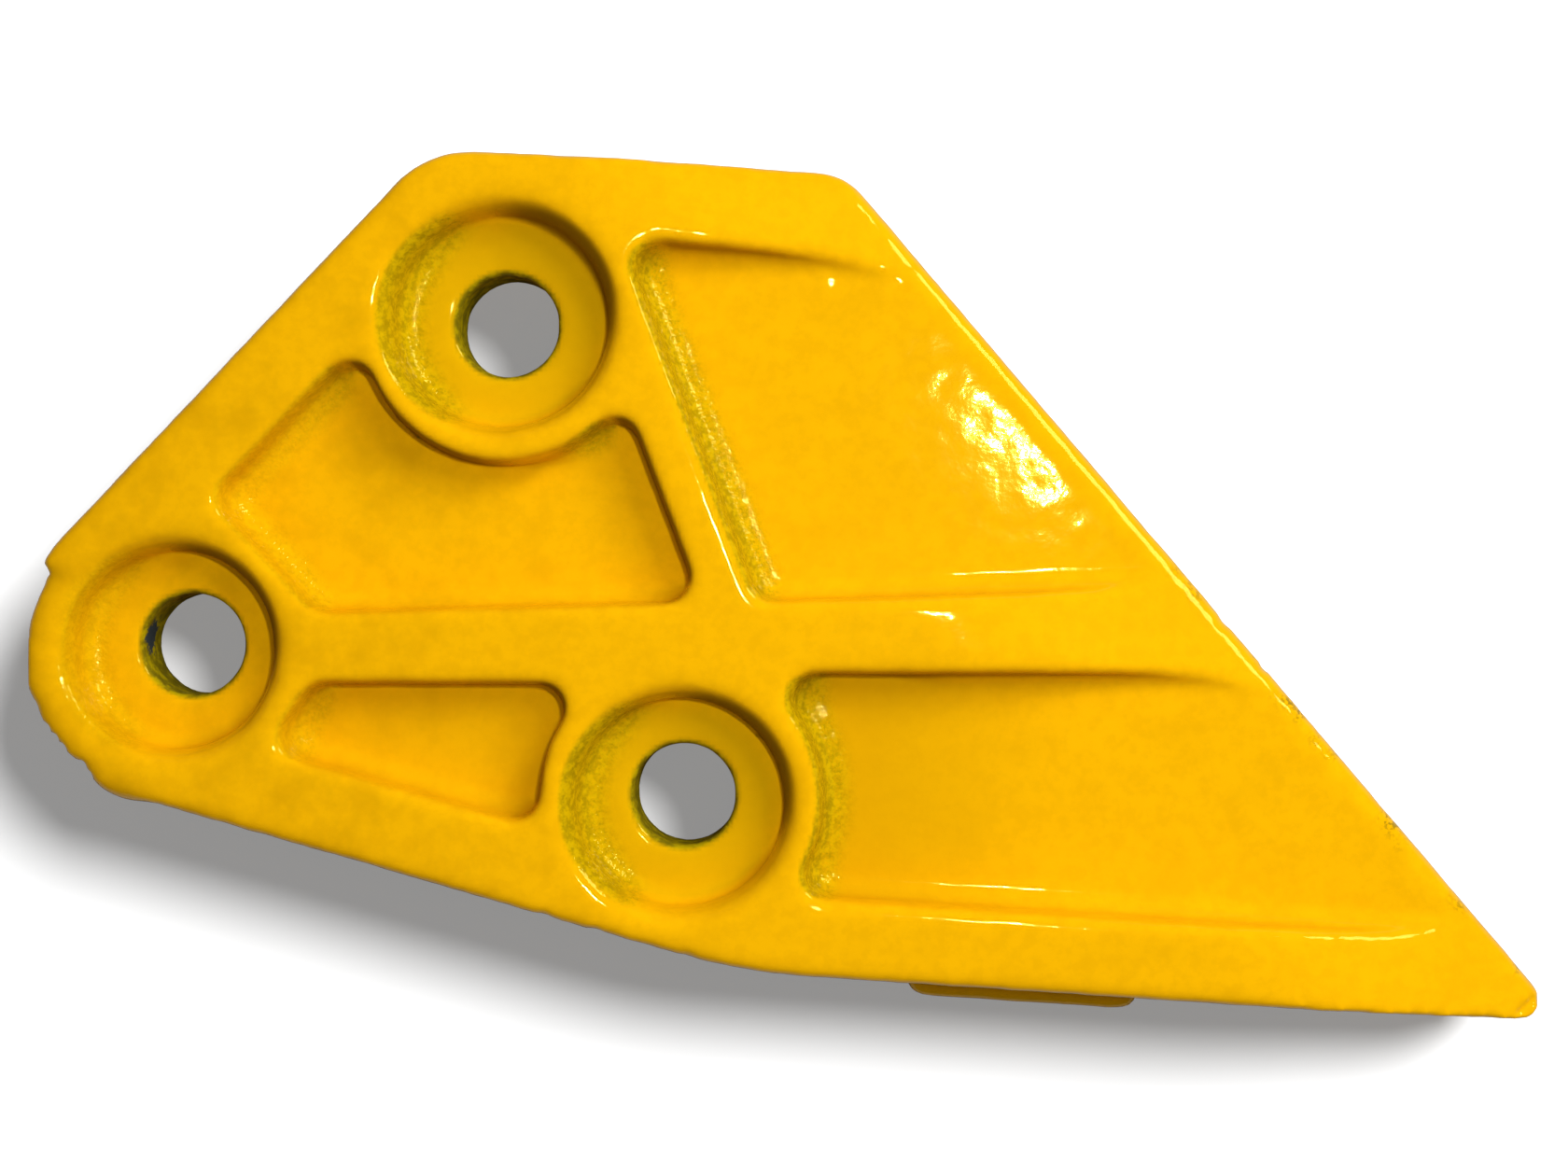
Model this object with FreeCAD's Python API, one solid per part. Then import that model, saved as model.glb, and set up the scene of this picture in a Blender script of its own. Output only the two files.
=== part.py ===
import FreeCAD, Part
import math
import os

# Bucket side cutter, one steel casting, in millimetres and degrees.
# The origin is on the axis of the rear bolt hole, in the plane of the mounting face.
# +X runs along the middle rib towards the blade, +Y towards the upper hole, +Z out of the ribbed face.

V = FreeCAD.Vector

# Heights above the mounting face
face_height = 34.0
seat_depth = 14.0
pocket_depth = 13.0
edge_land = 16.5

# Bolt holes for M24 bolts
upper_hole_x = 82.2
upper_hole_y = 82.8
lower_hole_x = 128.1
lower_hole_y = -38.8
bore_diameter = 26.0
bore_chamfer = 1.0

# Cast recesses for the bolt heads, each a little off the axis of its drilled bore
rear_seat_radius = 25.2
rear_seat_x = -2.9
rear_seat_y = -1.2
upper_seat_radius = 27.0
upper_seat_x = -0.6
upper_seat_y = 0.7
lower_seat_radius = 26.2
lower_seat_x = -0.5
lower_seat_y = -1.4
seat_foot_radius = 4.2
seat_rim_reach = 5.2
seat_rim_drop = 8.0
seat_draft = 4.0

# Outline, as seen on the ribbed face
rear_boss_radius = 41.0
rear_upper_margin = 41.8
upper_boss_margin = 44.1
lower_boss_margin = 38.5
top_margin = 43.1
bottom_margin = 43.4
edge_distance = 208.0
top_angle = -2.95
bottom_angle = -3.5
edge_angle = -49.8
top_rear_radius = 26.0
top_front_radius = 16.0
tip_radius = 5.3
belly_radius = 160.0
side_draft = 2.0
front_edge_radius = 3.0

# Blade, sloping from the ribbed face down to the cutting edge
slope_length = 46.0
slope_bend_radius = 90.0
edge_nose_radius = 4.0

# Ribs and pockets between them
boss_radius = 36.0
rear_rib_top = 7.5
rear_rib_top_angle = 1.4
rear_rib_bottom = -9.6
front_rib_top = 11.2
front_rib_top_angle = 1.8
front_rib_bottom = -6.9
slanted_rib_width = 13.6
rim_band = 21.0
top_band = 20.1
top_band_angle = -4.0
bottom_band = 20.0
rear_wall_upper = 31.0
rear_wall_upper_angle = 43.0
rear_wall_lower = 33.0
rear_wall_lower_angle = -34.0
pocket_draft = 5.0
pocket_corner_gain = 1.5
pocket_foot_radius = 5.0
pocket_rim_radius = 2.4

# Ledge on the back, which bears on the front edge of the bucket's side plate
ledge_height = 14.0
ledge_width = 57.0
ledge_overhang = 7.2
ledge_top_inset = 3.0
ledge_root = 5.0
ledge_corner_radius = 5.0
ledge_edge_radius = 2.5

# Rear end, where the torch that cut the feeder off went a little off centre and then bit into the edge
torch_first_angle = 150.5
torch_last_angle = 196.0
torch_radius = 39.2
torch_shift_x = -0.5
torch_shift_y = -4.6
bite_radius = 6.0
bite_angles = [201.0, 211.5, 218.5, 229.5]
bite_depths = [1.8, 1.5, 1.9, 2.6]

# Room that a cutting tool stands clear of what it cuts, and how near two things must be to touch
clear = 10.0
touching = 0.001


def heading(angle):
    """Unit vector at an angle from +X."""
    return V(math.cos(math.radians(angle)), math.sin(math.radians(angle)), 0)


def side(point, angle, outset=0.0):
    """A straight side through a point, with the metal on its left, moved outwards by outset."""
    return point + heading(angle - 90) * outset, angle


def moved(line, outset):
    point, angle = line
    return side(point, angle, outset)


def crossing(line_a, line_b):
    """The point where two sides cross."""
    (p, a), (q, b) = line_a, line_b
    u, w = heading(a), heading(b)
    along = ((q - p).x * w.y - (q - p).y * w.x) / (u.x * w.y - u.y * w.x)
    return p + u * along


def common_tangent(centre_a, radius_a, centre_b, radius_b):
    """The side from circle a to circle b that touches both on its right."""
    gap = centre_b - centre_a
    bearing = math.degrees(math.atan2(gap.y, gap.x))
    lean = math.degrees(math.asin((radius_b - radius_a) / gap.Length))
    angle = bearing - lean
    return side(centre_a, angle, radius_a)


def corners(lines, z, outset=0.0):
    """The points at a height where neighbouring sides cross, in order."""
    lines = [moved(line, outset) for line in lines]
    return [crossing(lines[k - 1], lines[k]) + V(0, 0, z) for k in range(len(lines))]


def tapered_block(lines, low, high):
    """A solid with flat sides between two polygons, each given as a height and an outset."""
    below = corners(lines, *low)
    above = corners(lines, *high)
    loops = [below[::-1], above]
    for k in range(len(lines)):
        loops.append([below[k - 1], below[k], above[k], above[k - 1]])
    faces = [Part.Face(Part.makePolygon(loop + loop[:1])) for loop in loops]
    return Part.Solid(Part.Shell(faces))


def upright_edge(shape, corner):
    """The edge that rises from a corner of a tapered block."""
    rising = [e for e in shape.Edges if e.BoundBox.ZLength > touching]
    return min(rising, key=lambda e: e.distToShape(Part.Vertex(corner))[0])


def rounded_polygon(lines, radii, z):
    """Closed wire along the sides, with an arc at each corner."""
    starts = []
    middles = []
    ends = []
    for k, corner in enumerate(corners(lines, z)):
        arriving, leaving = heading(lines[k - 1][1]), heading(lines[k][1])
        half_turn = arriving.getAngle(leaving) / 2
        inwards = (leaving - arriving).normalize()
        starts.append(corner - arriving * radii[k] * math.tan(half_turn))
        middles.append(corner + inwards * radii[k] * (1 / math.cos(half_turn) - 1))
        ends.append(corner + leaving * radii[k] * math.tan(half_turn))
    edges = []
    for k in range(len(lines)):
        edges.append(Part.Arc(starts[k], middles[k], ends[k]).toShape())
        edges.append(Part.LineSegment(ends[k], starts[(k + 1) % len(lines)]).toShape())
    return Part.Wire(edges)


def drafted(height, angle):
    """How far a wall leans over a height."""
    return height * math.tan(math.radians(angle))


rear_hole = V(0, 0, 0)
upper_hole = V(upper_hole_x, upper_hole_y, 0)
lower_hole = V(lower_hole_x, lower_hole_y, 0)
holes = [rear_hole, upper_hole, lower_hole]
seats = [(rear_hole + V(rear_seat_x, rear_seat_y, 0), rear_seat_radius),
         (upper_hole + V(upper_seat_x, upper_seat_y, 0), upper_seat_radius),
         (lower_hole + V(lower_seat_x, lower_seat_y, 0), lower_seat_radius)]

pocket_floor = face_height - pocket_depth
seat_height = face_height - seat_depth
pocket_corner_radius = pocket_foot_radius + pocket_corner_gain

# The outline runs counter-clockwise from the rear end along the lower edge
lower_rear_side = common_tangent(rear_hole, rear_boss_radius, lower_hole, lower_boss_margin)
bottom_side = side(lower_hole, bottom_angle, bottom_margin)
cutting_side = side(rear_hole, edge_angle + 180, edge_distance)
top_side = side(upper_hole, top_angle + 180, top_margin)
upper_rear_side = common_tangent(upper_hole, upper_boss_margin, rear_hole, rear_upper_margin)
outline = [lower_rear_side, bottom_side, cutting_side, top_side, upper_rear_side]
outline_radii = [rear_boss_radius, belly_radius, tip_radius, top_front_radius, top_rear_radius]

# The slanted rib runs parallel to the line of the two front holes, tangent to their bosses
hole_line = lower_hole - upper_hole
rib_angle = math.degrees(math.atan2(hole_line.y, hole_line.x))
shoulder = side(upper_hole, rib_angle, -boss_radius)


def block():
    """The plain drafted block of the outline, rounded at its corners and round the ribbed face."""
    shape = tapered_block(outline, (0, drafted(face_height, side_draft)), (face_height, 0))
    for corner, radius in zip(corners(outline, face_height), outline_radii):
        shape = shape.makeFillet(radius, [upright_edge(shape, corner)])
    border = [e for e in shape.Edges if e.BoundBox.ZMin > face_height - touching]
    return shape.makeFillet(front_edge_radius, border)


def blade_slope():
    """What lies above the blade: the bend out of the face, the slope and the nose of the edge."""
    point, angle = moved(cutting_side, drafted(face_height - edge_land, side_draft))
    inwards = heading(angle + 90)
    along = heading(angle)

    def at(depth, z):
        return point + inwards * depth + V(0, 0, z)

    rise = face_height - edge_land
    run = slope_length - edge_nose_radius
    slope = math.atan2(rise, run) - math.asin(edge_nose_radius / math.hypot(rise, run))
    nose_top = at(edge_nose_radius * (1 - math.sin(slope)),
                  edge_land + edge_nose_radius * math.cos(slope))
    half = slope / 2
    nose_middle = at(edge_nose_radius * (1 - math.cos(math.pi / 4 - half)),
                     edge_land + edge_nose_radius * math.sin(math.pi / 4 - half))
    bend_reach = slope_bend_radius * math.tan(half)
    bend_low = at(slope_length - bend_reach * math.cos(slope), face_height - bend_reach * math.sin(slope))
    bend_middle = at(slope_length + bend_reach - slope_bend_radius * math.sin(half),
                     face_height - slope_bend_radius * (1 - math.cos(half)))
    bend_high = at(slope_length + bend_reach, face_height)
    over = [bend_high, at(slope_length + bend_reach, face_height + clear),
            at(-clear, face_height + clear), at(-clear, edge_land), at(0, edge_land)]
    edges = [Part.Arc(over[-1], nose_middle, nose_top).toShape(),
             Part.LineSegment(nose_top, bend_low).toShape(),
             Part.Arc(bend_low, bend_middle, bend_high).toShape()]
    edges += [Part.LineSegment(over[k], over[k + 1]).toShape() for k in range(len(over) - 1)]
    start = crossing(bottom_side, cutting_side) - along * clear
    end = crossing(cutting_side, top_side) + along * 2 * (slope_length + bend_reach)
    profile = Part.Face(Part.Wire(Part.__sortEdges__(edges)))
    profile.translate(along * (start - point).dot(along))
    return profile.extrude(along * (end - start).dot(along))


def pocket(lines, bosses):
    """A drafted pocket with rounded corners and foot, leaving the bosses round the bolts."""
    low = (pocket_floor, -drafted(pocket_depth, pocket_draft))
    high = (face_height + clear, drafted(clear, pocket_draft))
    tool = tapered_block(lines, low, high)
    height = pocket_depth + 2 * clear
    for centre in bosses:
        tool = tool.cut(Part.makeCone(boss_radius + drafted(pocket_depth + clear, pocket_draft),
                                      boss_radius - drafted(clear, pocket_draft), height,
                                      centre + V(0, 0, pocket_floor - clear)))
    upright = [e for e in tool.Edges if e.BoundBox.ZLength > pocket_depth]
    tool = tool.makeFillet(pocket_corner_radius, upright)
    foot = [e for e in tool.Edges if e.BoundBox.ZMax < pocket_floor + touching]
    return tool.makeFillet(pocket_foot_radius, foot)


def rear_wall(distance, angle):
    """A pocket wall facing away from the rear hole, at a distance from its axis."""
    return rear_hole + heading(angle) * distance, angle - 90


front_rib_middle = upper_hole_x + 2 * boss_radius
top_band_edge = upper_hole + heading(top_angle + 90) * (top_margin - top_band)
slanted_left = side(upper_hole, rib_angle + 180, boss_radius - slanted_rib_width)
beyond_edge = moved(cutting_side, clear)
pockets = {
    "upper rear": ([side(V(0, rear_rib_top, 0), rear_rib_top_angle), slanted_left,
                    side(upper_hole, 180), moved(upper_rear_side, -rim_band),
                    rear_wall(rear_wall_upper, rear_wall_upper_angle)], [upper_hole]),
    "lower rear": ([moved(lower_rear_side, -rim_band), side(lower_hole, 90),
                    side(V(0, rear_rib_bottom, 0), 180),
                    rear_wall(rear_wall_lower, rear_wall_lower_angle)], [lower_hole]),
    "upper front": ([side(V(front_rib_middle, front_rib_top, 0), front_rib_top_angle), beyond_edge,
                     side(top_band_edge, 180 + top_band_angle), shoulder], []),
    "lower front": ([moved(bottom_side, -bottom_band), beyond_edge,
                     side(V(0, front_rib_bottom, 0), 180), side(lower_hole, -90)], [lower_hole]),
}


def shared_edges(shape, first, second):
    """The edges of a shape that lie on both of two other surfaces."""
    found = []
    for edge in shape.Edges:
        middle = Part.Vertex(edge.valueAt((edge.FirstParameter + edge.LastParameter) / 2))
        if all(middle.distToShape(shell)[0] < touching for shell in first.Shells + second.Shells):
            found.append(edge)
    return found


def with_pockets(shape):
    """Sinks each pocket and rounds its rim where the rim lies on the level face."""
    for lines, bosses in pockets.values():
        tool = pocket(lines, bosses)
        sunk = shape.cut(tool)
        rim = [e for e in shared_edges(sunk, tool, shape) if e.BoundBox.ZMin > face_height - touching]
        shape = sunk.makeFillet(pocket_rim_radius, rim)
    return shape


def rounded_corner(before, corner, after):
    """The arc that rounds a corner from one point to another."""
    half_turn = (corner - before).getAngle(after - corner) / 2
    arc = Part.BezierCurve()
    arc.setPoles([before, corner, after])
    arc.setWeight(2, math.cos(half_turn))
    return arc.toShape()


def bolt_recess(centre, seat):
    """The flared recess for a bolt head, turned about its own axis, with a seat of a given radius."""
    mouth = seat + drafted(seat_depth, seat_draft)
    up_the_wall = V(mouth - seat, 0, seat_depth).normalize()
    foot = V(seat, 0, seat_height)
    rim = V(mouth, 0, face_height)
    foot_reach = seat_foot_radius * math.tan(math.radians(90 - seat_draft) / 2)
    low = [V(0, 0, seat_height), foot - V(foot_reach, 0, 0)]
    wall = [foot + up_the_wall * foot_reach, rim - up_the_wall * seat_rim_drop]
    high = [rim + V(seat_rim_reach, 0, 0), rim + V(seat_rim_reach, 0, clear),
            V(0, 0, face_height + clear), low[0]]
    edges = [Part.makeLine(p, q) for points in (low, wall, high) for p, q in zip(points, points[1:])]
    edges.append(rounded_corner(low[1], foot, wall[0]))
    edges.append(rounded_corner(wall[1], rim, high[0]))
    section = Part.Face(Part.Wire(Part.__sortEdges__(edges)))
    return section.revolve(V(0, 0, 0), V(0, 0, 1), 360).translated(centre)


def bore(hole):
    """The drilled bore, chamfered where it meets the seat."""
    radius = bore_diameter / 2
    drill = Part.makeCylinder(radius, face_height + 2 * clear, hole - V(0, 0, clear))
    chamfer = Part.makeCone(radius, radius + 2 * bore_chamfer, 2 * bore_chamfer,
                            hole + V(0, 0, seat_height - bore_chamfer))
    return [drill, chamfer]


def ledge():
    """The bar across the back, with its rear shoulder on the line of the slanted rib's front edge."""
    front = side(shoulder[0] + heading(rib_angle + 90) * ledge_width, rib_angle + 180)
    lower_end = moved(bottom_side, ledge_overhang)
    upper_end = moved(top_side, -ledge_top_inset)
    lines = [lower_end, front, upper_end, shoulder]
    radii = [ledge_corner_radius] * len(lines)
    base = Part.Face(rounded_polygon(lines, radii, -ledge_height))
    bar = base.extrude(V(0, 0, ledge_height + ledge_root))
    back = [e for e in bar.Edges if e.BoundBox.ZMax < touching - ledge_height]
    front_end = [e for e in bar.Edges if e.BoundBox.ZMin > ledge_root - touching]
    return bar.makeFillet(ledge_edge_radius, back + front_end)


def torch_cuts():
    """What the torch took off the rear end: a crescent, then a row of bites."""
    height = face_height + 2 * clear
    reach = 2 * rear_boss_radius
    middle = heading((torch_first_angle + torch_last_angle) / 2) * reach
    wedge = Part.Face(Part.makePolygon([rear_hole, heading(torch_first_angle) * reach, middle,
                                        heading(torch_last_angle) * reach, rear_hole]))
    wedge.translate(V(0, 0, -clear))
    left_standing = Part.makeCylinder(torch_radius, height, V(torch_shift_x, torch_shift_y, -clear))
    cuts = [wedge.extrude(V(0, 0, height)).cut(left_standing)]
    for angle, depth in zip(bite_angles, bite_depths):
        centre = heading(angle) * (rear_boss_radius + bite_radius - depth)
        cuts.append(Part.makeCylinder(bite_radius, height, centre - V(0, 0, clear)))
    return cuts


solid = block().cut(blade_slope())
solid = with_pockets(solid)
solid = solid.fuse(ledge())
solid = solid.cut([bolt_recess(centre, radius) for centre, radius in seats] + torch_cuts())
for hole in holes:
    solid = solid.cut(bore(hole))
solid = solid.removeSplitter().Solids[0]

os.makedirs("parts", exist_ok=True)
solid.exportStep("parts/side_cutter.step")
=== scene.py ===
import math

import bpy
import bmesh
import numpy as np
from mathutils import Matrix, Vector
from mathutils.bvhtree import BVHTree


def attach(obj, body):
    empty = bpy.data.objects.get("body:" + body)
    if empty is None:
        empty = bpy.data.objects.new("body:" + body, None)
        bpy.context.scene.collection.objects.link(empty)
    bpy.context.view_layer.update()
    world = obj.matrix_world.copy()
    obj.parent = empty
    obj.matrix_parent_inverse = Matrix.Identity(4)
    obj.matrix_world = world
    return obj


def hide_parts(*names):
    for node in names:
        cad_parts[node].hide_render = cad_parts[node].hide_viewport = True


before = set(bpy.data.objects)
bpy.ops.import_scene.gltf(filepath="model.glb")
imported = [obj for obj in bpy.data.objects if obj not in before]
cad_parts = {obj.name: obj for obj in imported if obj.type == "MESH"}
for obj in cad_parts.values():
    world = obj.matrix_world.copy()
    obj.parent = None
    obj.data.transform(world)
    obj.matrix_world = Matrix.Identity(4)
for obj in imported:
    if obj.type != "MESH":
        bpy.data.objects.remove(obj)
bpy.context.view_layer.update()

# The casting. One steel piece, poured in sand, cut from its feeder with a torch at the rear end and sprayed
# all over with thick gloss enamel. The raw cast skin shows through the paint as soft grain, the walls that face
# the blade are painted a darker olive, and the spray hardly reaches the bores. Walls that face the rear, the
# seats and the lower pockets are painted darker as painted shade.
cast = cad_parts["side_cutter"]
bench = bpy.context.scene.collection
skin_step = 0.00115
roundness = 0.5


def on_bench(name, mesh):
    piece = bpy.data.objects.new(name, mesh)
    bench.objects.link(piece)
    return piece


def as_plain_mesh(piece):
    """The piece with its modifiers worked into the mesh and taken off."""
    bpy.context.view_layer.update()
    depsgraph = bpy.context.evaluated_depsgraph_get()
    mesh = bpy.data.meshes.new_from_object(piece.evaluated_get(depsgraph), depsgraph=depsgraph)
    piece.modifiers.clear()
    piece.data = mesh


def closed_copy(node):
    """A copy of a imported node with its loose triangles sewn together."""
    sewn = bmesh.new()
    sewn.from_mesh(node.data)
    bmesh.ops.remove_doubles(sewn, verts=sewn.verts, dist=1e-6)
    mesh = bpy.data.meshes.new("sewn")
    sewn.to_mesh(mesh)
    sewn.free()
    return mesh


def read(items, name, width, kind=float):
    """One value, or one row of values, from each item of a mesh."""
    values = np.empty(len(items) * width, kind)
    items.foreach_get(name, values)
    return values.reshape(-1, width)


def dot(rows, others):
    return np.einsum("ij,ij->i", rows, others)


def onto_skin(mesh, node):
    """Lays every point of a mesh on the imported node's rounded surface, as the node's own normals give it."""
    surface = node.data
    surface.calc_loop_triangles()
    corners = read(surface.loop_triangles, "loops", 3, int)
    owners = read(surface.loops, "vertex_index", 1, int)[corners, 0]
    at = read(surface.vertices, "co", 3)[owners]
    normals = read(surface.corner_normals, "vector", 3)[corners]
    triangles = np.arange(corners.size).reshape(-1, 3)
    tree = BVHTree.FromPolygons(at.reshape(-1, 3).tolist(), triangles.tolist())
    hits = [tree.find_nearest(Vector(point)) for point in read(mesh.vertices, "co", 3)]
    near = np.array([hit[0] for hit in hits])
    face = np.array([hit[2] for hit in hits])

    # How near each point lies to the three corners of the triangle under it
    across, up, over = at[face, 1] - at[face, 0], at[face, 2] - at[face, 0], near - at[face, 0]
    aa, ab, bb = dot(across, across), dot(across, up), dot(up, up)
    pa, pb = dot(over, across), dot(over, up)
    spread = np.maximum(aa * bb - ab * ab, 1e-20)
    second = (bb * pa - ab * pb) / spread
    third = (aa * pb - ab * pa) / spread
    shares = np.clip(np.stack([1 - second - third, second, third], 1), 0, 1)

    # Each corner draws the point towards its own tangent plane, which rounds the flat triangles
    rise = np.zeros_like(near)
    for k in range(3):
        slope = normals[face, k]
        rise += shares[:, k, None] * dot(near - at[face, k], slope)[:, None] * slope
    mesh.vertices.foreach_set("co", (near - roundness * rise).ravel())
    mesh.update()


casting = on_bench("side_cutter_casting", closed_copy(cast))
remesh = casting.modifiers.new("even skin", "REMESH")
remesh.mode = "VOXEL"
remesh.voxel_size = skin_step
remesh.use_smooth_shade = True
as_plain_mesh(casting)
onto_skin(casting.data, cast)


class Bench:
    """Adds nodes to a tree and joins them: a value may be a number, a vector or another node's output."""

    def __init__(self, tree):
        self.tree = tree

    def put(self, socket, value):
        if isinstance(value, bpy.types.NodeSocket):
            self.tree.links.new(value, socket)
        else:
            socket.default_value = value

    def add(self, kind, values=(), **settings):
        node = self.tree.nodes.new(kind)
        for key, value in settings.items():
            setattr(node, key, value)
        for key, value in dict(values).items():
            self.put(node.inputs[key], value)
        return node

    def math(self, operation, *values, clamp=False):
        node = self.add("ShaderNodeMath", operation=operation, use_clamp=clamp)
        for socket, value in zip(node.inputs, values):
            self.put(socket, value)
        return node.outputs[0]

    def joined(self, operation, values):
        """Many values taken together, two at a time, as their sum, product, least or greatest."""
        result, *others = values
        for value in others:
            result = self.math(operation, result, value)
        return result

    def product(self, *values):
        return self.joined("MULTIPLY", values)

    def vector(self, operation, *values):
        node = self.add("ShaderNodeVectorMath", operation=operation)
        for socket, value in zip(node.inputs, values):
            self.put(socket, value)
        return node.outputs[1 if operation in ("DOT_PRODUCT", "LENGTH", "DISTANCE") else 0]

    def scaled(self, vector, factor):
        return self.add("ShaderNodeVectorMath", {0: vector, "Scale": factor}, operation="SCALE").outputs[0]

    def parts(self, vector):
        return self.add("ShaderNodeSeparateXYZ", {0: vector}).outputs

    def noise(self, place, scale, detail=2.0, roughness=0.5):
        return self.add("ShaderNodeTexNoise", {"Vector": place, "Scale": scale, "Detail": detail,
                                               "Roughness": roughness}).outputs[0]

    def ramp(self, value, low, high, to_low=0.0, to_high=1.0):
        """A soft step from one value at low to the other at high."""
        return self.add("ShaderNodeMapRange", {"Value": value, "From Min": low, "From Max": high,
                                               "To Min": to_low, "To Max": to_high},
                        interpolation_type="SMOOTHSTEP").outputs[0]

    def blurred(self, kind, value, steps):
        node = self.add("GeometryNodeBlurAttribute", data_type=kind)
        self.put(next(socket for socket in node.inputs if socket.name == "Value" and socket.enabled), value)
        self.put(node.inputs["Iterations"], steps)
        return next(socket for socket in node.outputs if socket.enabled)

    def shifted(self, geometry, offset):
        return self.add("GeometryNodeSetPosition", {"Geometry": geometry, "Offset": offset}).outputs[0]

    def stored(self, geometry, name, value):
        node = self.add("GeometryNodeStoreNamedAttribute", {"Geometry": geometry, "Name": name},
                        data_type="FLOAT", domain="POINT")
        self.put(next(socket for socket in node.inputs if socket.name == "Value" and socket.enabled), value)
        return node.outputs[0]

    def attribute(self, name):
        return self.add("ShaderNodeAttribute", attribute_name=name).outputs["Fac"]

    def coat(self, under, over, share):
        """One paint over another, which hides as much of it as the share says."""
        mix = self.add("ShaderNodeMix", {"Factor": share, 6: under, 7: over}, data_type="RGBA")
        return mix.outputs[2]

    def bump(self, height, strength, distance, **under):
        return self.add("ShaderNodeBump", {"Height": height, "Strength": strength, "Distance": distance,
                                           **under}).outputs[0]


def new_finish(name):
    """An empty material and the bench for its nodes."""
    material = bpy.data.materials.new(name)
    material.use_nodes = True
    material.node_tree.nodes.clear()
    return material, Bench(material.node_tree)


def overspray(p, where):
    """The patchy paint in the bores, over primer and grease."""
    return p.coat((0.20, 0.15, 0.003, 1), (0.46, 0.34, 0.002, 1),
                  p.ramp(p.noise(where, 260.0, 3.0, 0.7), 0.4, 0.65))


# Enamel: the full coat on the flats, the wall olives, the painted shade and what the knocks have left of it
full_yellow = (0.97, 0.49, 0.0012, 1)
cloud_yellow = (0.80, 0.40, 0.001, 1)
fleck_yellow = (0.84, 0.41, 0.001, 1)
shaded_yellow = (0.70, 0.36, 0.001, 1)
shaded_seat_yellow = (0.66, 0.39, 0.001, 1)
shade_brown = (0.16, 0.072, 0.0005, 1)
wall_olive = (0.33, 0.235, 0.001, 1)
wall_yellow = (0.60, 0.405, 0.001, 1)
chip_brown = (0.16, 0.13, 0.004, 1)
gloss_tint = (1.0, 0.86, 0.15, 1)
gloss_roughness = 0.045
dull_roughness = 0.6

enamel, p = new_finish("yellow enamel")
where = p.add("ShaderNodeTexCoord").outputs["Object"]
along = p.parts(where)[0]
cloud = p.product(p.ramp(p.noise(where, 75.0, 4.0, 0.6), 0.42, 0.75), p.ramp(along, 0.14, 0.03, 0.35, 1.0))
fleck = p.ramp(p.noise(where, 270.0, 4.0, 0.65), 0.40, 0.64)
colour = p.coat(full_yellow, cloud_yellow, cloud)
colour = p.coat(colour, fleck_yellow, p.product(fleck, 0.42))
# Painted shade: the lower pockets are painted darker than the face
colour = p.coat(colour, shaded_yellow, p.product(p.attribute("shade"), 0.75))
# Painted shade: the seats are painted darker, the rear one only a little
colour = p.coat(colour, shaded_seat_yellow, p.product(p.attribute("seat"), p.ramp(along, 0.03, 0.06, 0.08, 0.6)))
# Painted shade: the walls that face the rear are painted dark brown
colour = p.coat(colour, shade_brown, p.product(p.attribute("dull_and_shaded"), 0.85))

grit = p.attribute("grit")
# The walls that face the blade and the grit at their feet are painted a darker olive
speck = p.ramp(p.noise(where, 1300.0, 3.0, 0.7), 0.35, 0.68, 0.42, 0.82)
wall_olives = p.coat(wall_olive, wall_yellow, p.ramp(p.noise(where, 500.0, 2.0, 0.7), 0.35, 0.65))
share = p.math("MAXIMUM", p.product(p.attribute("wall"), 0.85), p.product(grit, speck))
colour = p.coat(colour, wall_olives, p.product(share, p.ramp(along, 0.02, 0.06, 0.45, 1.0)))
chip = p.product(p.attribute("knocked"), p.ramp(p.noise(where, 900.0, 2.0), 0.45, 0.6), 0.7)
colour = p.coat(colour, chip_brown, chip)
colour = p.coat(colour, overspray(p, where), p.attribute("bore"))

peel = p.bump(p.noise(where, 450.0, 2.0), 0.06, 0.0003)
sand = p.bump(p.noise(where, 1100.0, 1.0, 0.5), p.product(grit, 0.4), 0.0004, Normal=peel)
shader = p.add("ShaderNodeBsdfPrincipled", {
    "Base Color": colour, "Specular IOR Level": 0.35, "Specular Tint": gloss_tint, "Normal": sand,
    "Roughness": p.math("ADD", gloss_roughness, p.product(p.attribute("dull_and_shaded"), dull_roughness))})
p.put(p.add("ShaderNodeOutputMaterial").inputs[0], shader.outputs[0])

# Bore grime: overspray and grease, with a bare patch of steel in the rear bore
bare_steel = (0.045, 0.055, 0.06, 1)
bare_place = (-0.0125, 0.002, 0.0125)

grime, p = new_finish("bore grime")
where = p.add("ShaderNodeTexCoord").outputs["Object"]
ragged = p.product(p.math("SUBTRACT", p.noise(where, 500.0, 3.0, 0.7), 0.5), 0.010)
patch = p.math("ADD", p.vector("DISTANCE", where, bare_place), ragged)
shader = p.add("ShaderNodeBsdfPrincipled", {
    "Base Color": p.coat(overspray(p, where), bare_steel, p.ramp(patch, 0.0050, 0.0040)),
    "Roughness": 0.55, "Specular IOR Level": 0.08, "Normal": p.bump(p.noise(where, 700.0, 2.0), 0.3, 0.0004)})
p.put(p.add("ShaderNodeOutputMaterial").inputs[0], shader.outputs[0])

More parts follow.
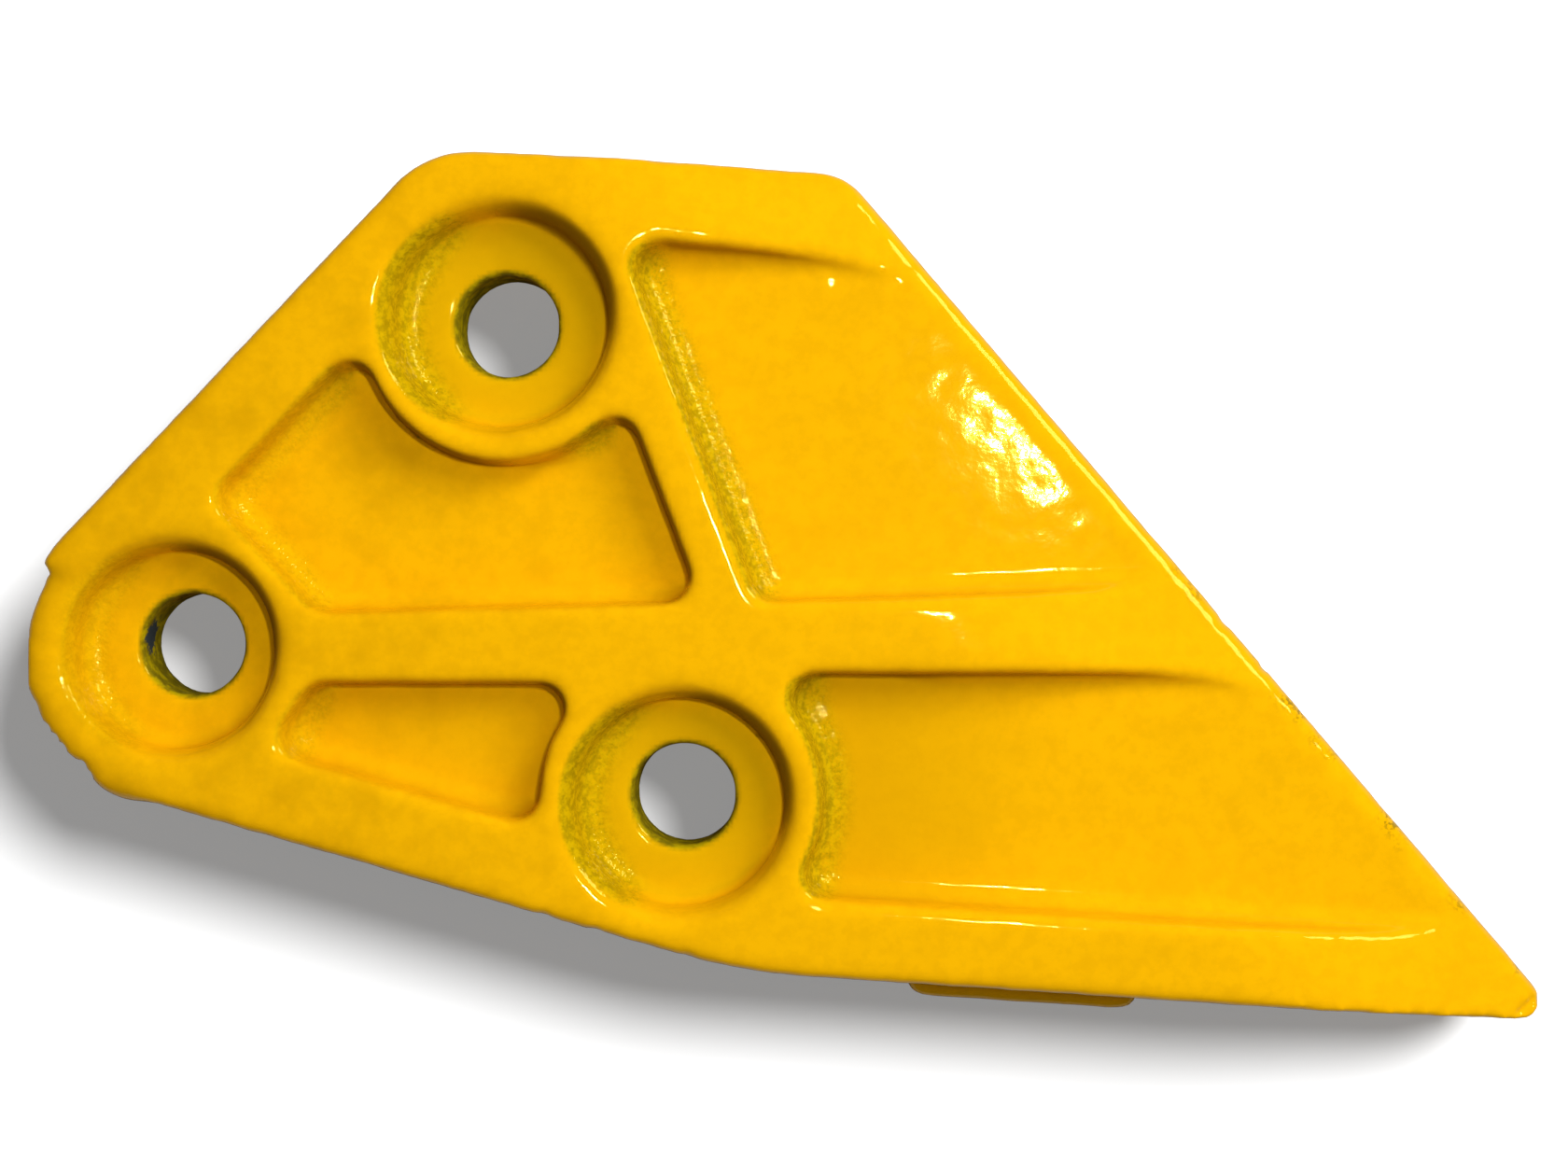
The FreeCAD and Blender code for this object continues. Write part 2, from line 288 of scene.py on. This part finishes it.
# The cast skin, worked into the even mesh by a tree of Geometry Nodes. Each line names a size of the skin,
# its kind and its value; lengths are in metres, and softening and spread are in rounds of blurring.
skin_sizes = [
    ("Tightening", "Float", 0.72), ("Edge softening", "Int", 6),
    ("Torch softening", "Int", 26), ("Torch bulge", "Float", 0.0020),
    ("Wave height", "Float", 0.00016), ("Wave length", "Float", 0.022),
    ("Lump height", "Float", 0.0007), ("Lump length", "Float", 0.009),
    ("Grain height", "Float", 0.00008), ("Grain length", "Float", 0.0055),
    ("Grit height", "Float", 0.0003), ("Grit length", "Float", 0.002), ("Grit spread", "Int", 40),
    ("Paint", "Material", enamel), ("Bore paint", "Material", grime)]

seat_height = 0.020
pocket_foot, pocket_foot_top = 0.005, 0.02565
seat_foot, seat_foot_top = 0.0042, 0.02395
skin_set_back = 0.0002
least_corner = (-0.0396, -0.0966, -0.01395)
rearward = (-0.80, -0.60, 0)

rear_hole = (0, 0, 0)
upper_hole = (0.0822, 0.0828, 0)
lower_hole = (0.1281, -0.0388, 0)
rear_recess = (-0.0029, -0.0012, 0)
recesses = [(rear_recess, 0.0252), ((0.0816, 0.0835, 0), 0.027), ((0.1276, -0.0402, 0), 0.0262)]

# The sides of the outline: the angle that each faces and its distance from the rear hole
edge_facing, edge_distance = 40.2, 0.208
outline = [(-105.8, 0.041), (-93.5, 0.0743), (edge_facing, edge_distance), (87.05, 0.130), (136.3, 0.0418),
           (158, 0.040), (180, 0.0385), (205, 0.040), (230, 0.041)]

# Nibs of sand, pits and knocks, each with its place, radius and height
marks = [(0.1644, 0.0940, 0.0032, 0.00022), (0.1889, -0.0255, 0.0022, 0.00015), (0.2671, -0.0599, 0.0016, -0.0002),
         (0.2671, -0.0643, 0.0016, -0.0002), (0.2672, 0.0057, 0.0030, -0.0004), (0.2779, -0.0057, 0.0022, -0.0004),
         (0.2745, -0.0940, 0.0025, -0.0004), (0.3060, -0.0965, 0.0035, -0.0005), (0.0932, -0.0690, 0.0026, -0.00035),
         (0.1062, -0.0729, 0.0026, -0.00035), (0.1300, -0.0790, 0.0028, -0.0003), (0.3425, -0.0938, 0.0022, -0.0012),
         (0.3444, -0.0924, 0.0024, -0.0012), (0.3461, -0.0907, 0.0022, -0.0010), (0.1810, 0.0975, 0.0016, 0.00015),
         (-0.0395, -0.0158, 0.0020, -0.0008), (-0.0380, -0.0192, 0.0016, -0.0006), (-0.0358, -0.0215, 0.0020, -0.0008),
         (-0.0335, -0.0241, 0.0018, -0.0007), (-0.0316, -0.0266, 0.0020, -0.0008), (-0.0264, -0.0311, 0.0022, -0.0008),
         (-0.0247, -0.0335, 0.0018, -0.0006)]

skin_tree = bpy.data.node_groups.new("cast skin", "GeometryNodeTree")
skin_tree.interface.new_socket("Geometry", in_out="INPUT", socket_type="NodeSocketGeometry")
skin_tree.interface.new_socket("Geometry", in_out="OUTPUT", socket_type="NodeSocketGeometry")
for name, kind, _ in skin_sizes:
    skin_tree.interface.new_socket(name, in_out="INPUT", socket_type="NodeSocket" + kind)

b = Bench(skin_tree)
given = b.add("NodeGroupInput").outputs
place = b.add("GeometryNodeInputPosition").outputs[0]
normal = b.add("GeometryNodeInputNormal").outputs[0]
x, y, z = b.parts(place)
n_x, _, n_z = b.parts(normal)
flat_place = b.vector("MULTIPLY", place, (1, 1, 0))
flat_normal = b.vector("MULTIPLY", normal, (1, 1, 0))


def from_line(facing, distance):
    """How far a point lies inside a side of the outline."""
    turn = math.radians(facing)
    return b.math("SUBTRACT", distance, b.vector("DOT_PRODUCT", place, (math.cos(turn), math.sin(turn), 0)))


def swell(size, detail):
    """Soft hills and hollows with the length and the height that the tree is given for them."""
    hills = b.noise(place, b.math("DIVIDE", 1.0, given[size + " length"]), detail)
    return b.product(b.math("SUBTRACT", hills, 0.5), given[size + " height"])


# Where a point lies: inside the outline, in a recess, off the bores, behind the cutting edge and along it
inside = b.joined("MINIMUM", [from_line(facing, distance) for facing, distance in outline])
within = b.product(b.ramp(inside, 0.0045, 0.009), b.ramp(z, 0.0192, seat_height))
deepest = b.joined("MAXIMUM", [b.math("SUBTRACT", radius, b.vector("DISTANCE", flat_place, centre))
                               for centre, radius in recesses])
in_recess = b.ramp(deepest, -0.0025, -0.0015)
from_bore = b.joined("MINIMUM", [b.vector("DISTANCE", flat_place, hole)
                                 for hole in (rear_hole, upper_hole, lower_hole)])
behind_edge = from_line(edge_facing, edge_distance)
edge_turn = math.radians(edge_facing)
along_edge = b.vector("DOT_PRODUCT", place, (math.sin(edge_turn), -math.cos(edge_turn), 0))

# Walls that face the rear and the lower side meet the floor in a tighter corner than the others
level = b.vector("NORMALIZE", flat_normal)
turned_away = b.ramp(b.vector("DOT_PRODUCT", level, rearward), 0.10, 0.55)
foot = b.math("SUBTRACT", pocket_foot, b.math("MULTIPLY", in_recess, pocket_foot - seat_foot))
foot_top = b.math("SUBTRACT", pocket_foot_top, b.math("MULTIPLY", in_recess, pocket_foot_top - seat_foot_top))
in_foot = b.product(b.math("LESS_THAN", z, foot_top), b.math("GREATER_THAN", z, 0.01995),
                    b.math("GREATER_THAN", b.vector("LENGTH", flat_normal), 0.03),
                    b.math("GREATER_THAN", inside, 0.006), b.math("GREATER_THAN", from_bore, 0.0165),
                    b.ramp(behind_edge, 0.062, 0.080), turned_away)
to_corner = b.vector("SUBTRACT", b.vector("SUBTRACT", normal, level), (0, 0, 1))
body = b.shifted(given["Geometry"], b.scaled(to_corner, b.product(in_foot, foot, given["Tightening"])))

# Cast edges come out of the sand rounder than drawn, inner corners only where the sand faced the blade
softened = b.vector("SUBTRACT", b.blurred("FLOAT_VECTOR", place, given["Edge softening"]), place)
worn_down = b.ramp(b.vector("DOT_PRODUCT", softened, normal), 0.0, -0.00003)
body = b.shifted(body, b.scaled(softened, b.math("MAXIMUM", worn_down, b.ramp(n_x, 0.05, 0.25))))

# The torch-cut rim round the rear recess has melted into a roll
roll = b.product(b.ramp(x, -0.006, -0.018), b.ramp(y, 0.022, 0.016), b.ramp(z, 0.019, 0.029),
                 b.ramp(b.vector("DISTANCE", flat_place, rear_recess), 0.0265, 0.0295))
melted = b.vector("SUBTRACT", b.blurred("FLOAT_VECTOR", place, given["Torch softening"]), place)
body = b.shifted(body, b.scaled(melted, roll))
body = b.shifted(body, b.scaled(flat_normal, b.product(roll, b.ramp(z, 0.022, 0.029), given["Torch bulge"])))

# Walls that face the blade get a darker olive paint, and grit at their feet
wall = b.product(b.ramp(n_x, 0.28, 0.6), within)
body = b.stored(body, "wall", wall)
gritty = b.product(b.ramp(b.blurred("FLOAT", wall, given["Grit spread"]), 0.02, 0.40), within,
                   b.ramp(z, 0.0338, 0.0315))
body = b.stored(body, "grit", gritty)

# Painted shade: the lower pockets are painted darker than the face, most of all where the front one begins
shade = b.product(b.ramp(x, 0.235, 0.165), b.ramp(x, 0.10, 0.15, 0.45, 1.0), b.ramp(y, 0.0, -0.008),
                  b.ramp(z, 0.030, 0.024), within, b.math("SUBTRACT", 1.0, in_recess))
body = b.stored(body, "shade", shade)

# Painted shade: walls that face the rear are painted dark brown and made dull, and the seats are painted darker
facing_away = b.ramp(b.vector("DOT_PRODUCT", normal, rearward), 0.38, 0.80)
body = b.stored(body, "dull_and_shaded", b.product(facing_away, within))
body = b.stored(body, "seat", b.product(b.ramp(deepest, 0.0, 0.002), b.ramp(z, 0.026, 0.0215)))

# The bores, where the drill left the steel and the spray hardly reached
in_bore = b.product(b.ramp(z, 0.0203, 0.0195), b.ramp(z, -0.001, 0.0), b.ramp(from_bore, 0.0146, 0.0136))
body = b.stored(body, "bore", in_bore)

# Knocks along the lower half of the cutting edge
knocked = b.product(b.ramp(behind_edge, 0.0055, 0.001), b.ramp(along_edge, 0.10, 0.20),
                    b.ramp(b.noise(flat_place, 95.0), 0.52, 0.68))
body = b.stored(body, "knocked", knocked)
bumps = b.joined("ADD", [b.ramp(b.vector("DISTANCE", flat_place, (mark_x, mark_y, 0)), radius, radius * 0.2,
                                0.0, height) for mark_x, mark_y, radius, height in marks])

# Lumps lie along the lower rear border, at the bottom of the outer walls, on the knocks and faintly everywhere
lower_rear = b.product(b.ramp(x, 0.16, 0.10), b.ramp(y, 0.01, -0.02), b.ramp(inside, 0.018, 0.004))
outer_wall = b.product(b.ramp(inside, 0.006, 0.001), 0.25)
lumpy = b.math("ADD", lower_rear, b.math("ADD", 0.12, outer_wall), clamp=True)
lumpy = b.math("ADD", lumpy, b.product(knocked, 0.6), clamp=True)

# The skin itself: waves everywhere, grain that is coarser on the walls and rims, grit, lumps and marks
rise = b.joined("ADD", [swell("Wave", 2.0), b.product(swell("Grain", 1.5), b.ramp(n_z, 0.99, 0.9, 1.0, 3.5)),
                        b.product(swell("Grit", 2.0), gritty), b.product(swell("Lump", 2.0), lumpy),
                        b.product(bumps, b.ramp(z, 0.004, 0.010))])
body = b.shifted(body, b.scaled(normal, b.math("SUBTRACT", rise, skin_set_back)))
body = b.add("GeometryNodeSetPosition", {"Geometry": body,
                                         "Position": b.vector("MAXIMUM", place, least_corner)}).outputs[0]

painted = b.add("GeometryNodeSetMaterial", {"Geometry": body, "Material": given["Paint"]}).outputs[0]
unpainted = b.math("GREATER_THAN", b.product(in_bore, b.ramp(z, 0.019, 0.0185)), 0.5)
painted = b.add("GeometryNodeSetMaterial", {"Geometry": painted, "Selection": unpainted,
                                            "Material": given["Bore paint"]}).outputs[0]
whole = b.add("GeometryNodeRealizeInstances", {"Geometry": painted}).outputs[0]
b.put(b.add("NodeGroupOutput").inputs[0], whole)

modifier = casting.modifiers.new("cast skin", "NODES")
modifier.node_group = skin_tree
sizes = {name: value for name, _, value in skin_sizes}
for socket in skin_tree.interface.items_tree:
    if socket.in_out == "INPUT" and socket.name in sizes:
        modifier[socket.identifier] = sizes[socket.name]
as_plain_mesh(casting)

# The back is plain, so it gets fewer triangles
back_height = 0.004
back_share = 0.68
back = casting.vertex_groups.new(name="back")
back.add([point.index for point in casting.data.vertices if point.co.z < back_height], 1.0, "REPLACE")
coarser = casting.modifiers.new("coarser back", "DECIMATE")
coarser.vertex_group = back.name
coarser.ratio = back_share
as_plain_mesh(casting)
casting.vertex_groups.clear()
casting.data.shade_smooth()
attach(casting, "root")
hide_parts("side_cutter")

# The floor. A plain pale table that the casting lies on, with its ledge down. The camera sees it lit to white
# apart from the casting's shadow, and it throws little light back on the casting.
reach = 4.0
floor_height = -0.0141
floor_mesh = bpy.data.meshes.new("floor")
floor_mesh.from_pydata([(-reach, -reach, floor_height), (reach, -reach, floor_height),
                        (reach, reach, floor_height), (-reach, reach, floor_height)], [], [(0, 1, 2, 3)])
floor = on_bench("floor", floor_mesh)
table, t = new_finish("pale table")
path = t.add("ShaderNodeLightPath").outputs
seen = t.math("MAXIMUM", path["Is Camera Ray"], path["Is Transmission Ray"])
plain = t.add("ShaderNodeBsdfDiffuse", {"Color": (0.15, 0.15, 0.15, 1)})
bright = t.add("ShaderNodeBsdfDiffuse", {"Color": (0.35, 0.35, 0.35, 1)})
glow = t.add("ShaderNodeEmission", {"Strength": 0.265})
shown = t.add("ShaderNodeAddShader", {0: bright.outputs[0], 1: glow.outputs[0]})
mixed = t.add("ShaderNodeMixShader", {0: seen, 1: plain.outputs[0], 2: shown.outputs[0]})
t.put(t.add("ShaderNodeOutputMaterial").inputs[0], mixed.outputs[0])
floor.data.materials.append(table)

# The camera. It hangs above the casting, over the middle of its blade, and looks down and a little towards
# the rear end. Its focal length is given in pixels of the 1680 pixel wide picture.
camera_place = Vector((0.1781, 0.0132, 0.697))
camera_target = Vector((0.1533, 0.0147, 0.0))
focal_length = 2810
picture_width = 1680
eye = bpy.data.cameras.new("eye")
eye.sensor_fit = "HORIZONTAL"
eye.sensor_width = 36.0
eye.lens = focal_length / picture_width * 36
camera = bpy.data.objects.new("eye", eye)
bench.objects.link(camera)
forward = (camera_target - camera_place).normalized()
right = (Vector((1, 0, 0)) - forward * forward.x).normalized()
up = right.cross(forward)
camera.matrix_world = Matrix.Translation(camera_place) @ Matrix((right, up, -forward)).transposed().to_4x4()
bpy.context.scene.camera = camera

# The light. Four small lamps in a slanting row above the blade and a fifth beside them, a wider one at the
# camera and two large ones off to the upper right light only the casting. A lamp far off to the upper right
# lights only the table and throws the casting's soft shadow on it.
middle = Vector((0.155, 0.015, 0.02))
row_middle = Vector((0.253, 0.093, 0.697))
row_steps = [(-0.020, 0.022, 0), (-0.008, 0.004, 0), (0.005, -0.008, 0), (0.016, -0.022, 0), (0.013, 0.010, 0)]
large_lamp_distance = 2.2
down = Vector((0, 0, -1))


def lit_only(holder, *things):
    """The lamp lights these things and nothing else."""
    group = bpy.data.collections.new(holder.name)
    for thing in things:
        group.objects.link(thing)
    holder.light_linking.receiver_collection = group


def disc_lamp(name, place, target, size, energy, in_gloss=True):
    """A round lamp for the casting alone, which its gloss shows or not."""
    lamp = bpy.data.lights.new(name, "AREA")
    lamp.shape = "DISK"
    lamp.size = size
    lamp.energy = energy
    holder = on_bench(name, lamp)
    holder.location = place
    holder.rotation_mode = "QUATERNION"
    holder.rotation_quaternion = (place - target).to_track_quat("Z", "Y")
    holder.visible_glossy = in_gloss
    lit_only(holder, casting)


for step in row_steps:
    lamp_place = row_middle + Vector(step)
    disc_lamp("lamp", lamp_place, lamp_place + down, 0.005, 0.40)
disc_lamp("front lamp", camera_place + Vector((0, 0, 0.01)), middle, 0.08, 0.60, in_gloss=False)
disc_lamp("side lamp", middle + Vector((75, 60, 100)).normalized() * large_lamp_distance, middle, 0.9, 18.0,
          in_gloss=False)
disc_lamp("low lamp", middle + Vector((75, 60, 56)).normalized() * large_lamp_distance, middle, 0.7, 18.0)

far_lamp = on_bench("far lamp", bpy.data.lights.new("far lamp", "SUN"))
far_lamp.data.energy = 13.4
far_lamp.data.angle = math.radians(26)
far_lamp.rotation_mode = "QUATERNION"
far_lamp.rotation_quaternion = Vector((38, 26, 48)).to_track_quat("Z", "Y")
lit_only(far_lamp, floor)

# The room. White where the camera looks past the table, and dim for the casting, whose gloss sees it a little
# brighter towards the horizon.
dim = 0.06
room = bpy.data.worlds.new("room")
bpy.context.scene.world = room
room.use_nodes = True
room.node_tree.nodes.clear()
w = Bench(room.node_tree)
path = w.add("ShaderNodeLightPath").outputs
height = w.parts(w.add("ShaderNodeTexCoord").outputs["Generated"])["Z"]
in_gloss = w.ramp(height, 0.0, 0.5, 0.10, 0.03)
brightness = w.math("ADD", w.math("MULTIPLY", path["Is Glossy Ray"], w.math("SUBTRACT", in_gloss, dim)), dim)
seen = w.math("MAXIMUM", path["Is Camera Ray"], path["Is Transmission Ray"])
brightness = w.math("ADD", w.math("MULTIPLY", seen, w.math("SUBTRACT", 1.0, brightness)), brightness)
backdrop = w.add("ShaderNodeBackground", {"Color": (1, 1, 1, 1), "Strength": brightness})
w.put(w.add("ShaderNodeOutputWorld").inputs[0], backdrop.outputs[0])
bpy.context.scene.view_settings.view_transform = "Standard"
